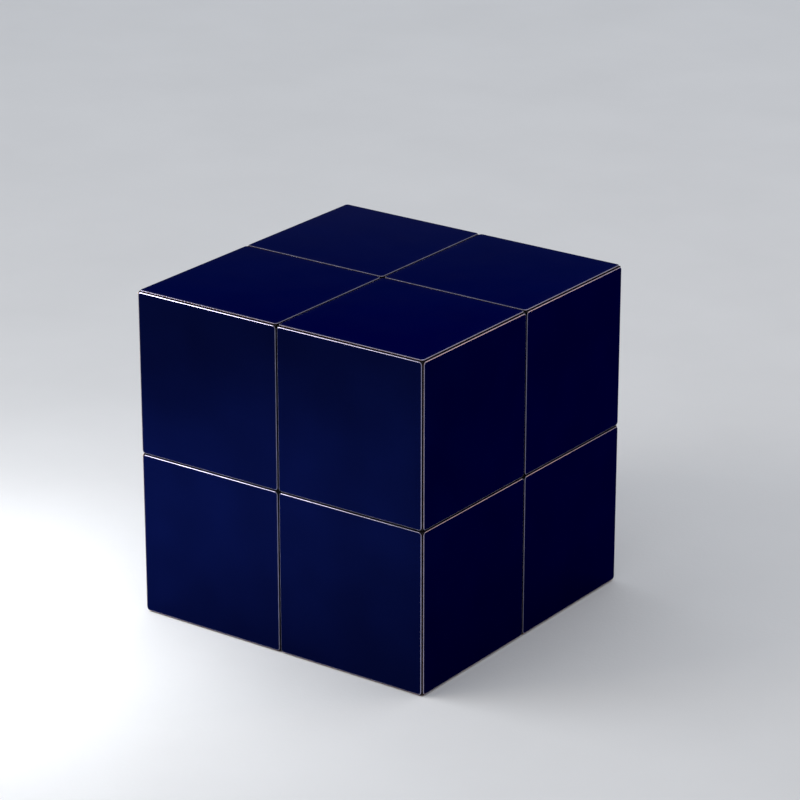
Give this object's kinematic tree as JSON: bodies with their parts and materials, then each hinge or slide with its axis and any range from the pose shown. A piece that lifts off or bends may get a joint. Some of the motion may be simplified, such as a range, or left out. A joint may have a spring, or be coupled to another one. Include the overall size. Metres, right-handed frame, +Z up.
{
  "type": "mirror block cube puzzle",
  "caption": "Twisty puzzle cube of equal hollow blocks faced with dark blue mirror tiles, on a hidden sprung core; its upper and lower layers turn about the upright axis.",
  "frame": {"origin": "middle of the underside, on the surface that the cube stands on", "axes": "+Z up along the turning axis; +X towards the right-hand blocks; +Y towards the back blocks"},
  "size_m": [0.05, 0.05, 0.05],
  "materials": {
    "mirror_tile": "dark blue metallised mirror with bright bevelled edges",
    "block_shell": "moulded black ABS, fine texture",
    "mechanism": "moulded black acetal, smooth",
    "core": "moulded natural nylon",
    "screw": "zinc-plated steel",
    "washer": "plain steel, stamped",
    "spring": "drawn spring steel wire"
  },
  "bodies": {
    "lower_layer": {"centre_cap_down": "mechanism", "corner_foot_down_back_left": "mechanism", "corner_foot_down_back_right": "mechanism", "corner_foot_down_front_left": "mechanism", "corner_foot_down_front_right": "mechanism", "corner_shell_down_back_left": "block_shell", "corner_shell_down_back_right": "block_shell", "corner_shell_down_front_left": "block_shell", "corner_shell_down_front_right": "block_shell", "inner_edge_down_back": "mechanism", "inner_edge_down_front": "mechanism", "inner_edge_down_left": "mechanism", "inner_edge_down_right": "mechanism", "mirror_tile_back_down_left": "mirror_tile", "mirror_tile_back_down_right": "mirror_tile", "mirror_tile_down_back_left": "mirror_tile", "mirror_tile_down_back_right": "mirror_tile", "mirror_tile_down_front_left": "mirror_tile", "mirror_tile_down_front_right": "mirror_tile", "mirror_tile_front_down_left": "mirror_tile", "mirror_tile_front_down_right": "mirror_tile", "mirror_tile_left_down_back": "mirror_tile", "mirror_tile_left_down_front": "mirror_tile", "mirror_tile_right_down_back": "mirror_tile", "mirror_tile_right_down_front": "mirror_tile"},
    "lower_spring": {"centre_spring_down": "spring"},
    "inner_slice": {"centre_caps_middle": "mechanism", "centre_screws": "screw", "centre_springs_middle": "spring", "centre_washers": "washer", "core": "core", "inner_edges_middle": "mechanism"},
    "upper_spring": {"centre_spring_up": "spring"},
    "upper_layer": {"centre_cap_up": "mechanism", "corner_foot_up_back_left": "mechanism", "corner_foot_up_back_right": "mechanism", "corner_foot_up_front_left": "mechanism", "corner_foot_up_front_right": "mechanism", "corner_shell_up_back_left": "block_shell", "corner_shell_up_back_right": "block_shell", "corner_shell_up_front_left": "block_shell", "corner_shell_up_front_right": "block_shell", "inner_edge_up_back": "mechanism", "inner_edge_up_front": "mechanism", "inner_edge_up_left": "mechanism", "inner_edge_up_right": "mechanism", "mirror_tile_back_up_left": "mirror_tile", "mirror_tile_back_up_right": "mirror_tile", "mirror_tile_front_up_left": "mirror_tile", "mirror_tile_front_up_right": "mirror_tile", "mirror_tile_left_up_back": "mirror_tile", "mirror_tile_left_up_front": "mirror_tile", "mirror_tile_right_up_back": "mirror_tile", "mirror_tile_right_up_front": "mirror_tile", "mirror_tile_up_back_left": "mirror_tile", "mirror_tile_up_back_right": "mirror_tile", "mirror_tile_up_front_left": "mirror_tile", "mirror_tile_up_front_right": "mirror_tile"}
  },
  "joints": [
    {"name": "lower_layer_turn", "type": "hinge", "parent": "lower_layer", "child": "lower_spring", "pos_m": [0, 0, 0.025], "axis": [0, 0, 1], "continuous": true},
    {"name": "lower_spring_travel", "type": "slide", "parent": "lower_spring", "child": "inner_slice", "axis": [0, 0, 1], "range_m": [0, 0.0004], "stiffness_N_per_m": 900, "springref_m": -0.0015, "deforming": ["centre_spring_down"]},
    {"name": "upper_spring_travel", "type": "slide", "parent": "inner_slice", "child": "upper_spring", "axis": [0, 0, 1], "range_m": [0, 0.0004], "stiffness_N_per_m": 900, "springref_m": -0.0015, "deforming": ["centre_spring_up"]},
    {"name": "upper_layer_turn", "type": "hinge", "parent": "upper_spring", "child": "upper_layer", "pos_m": [0, 0, 0.025], "axis": [0, 0, 1], "continuous": true}
  ]
}
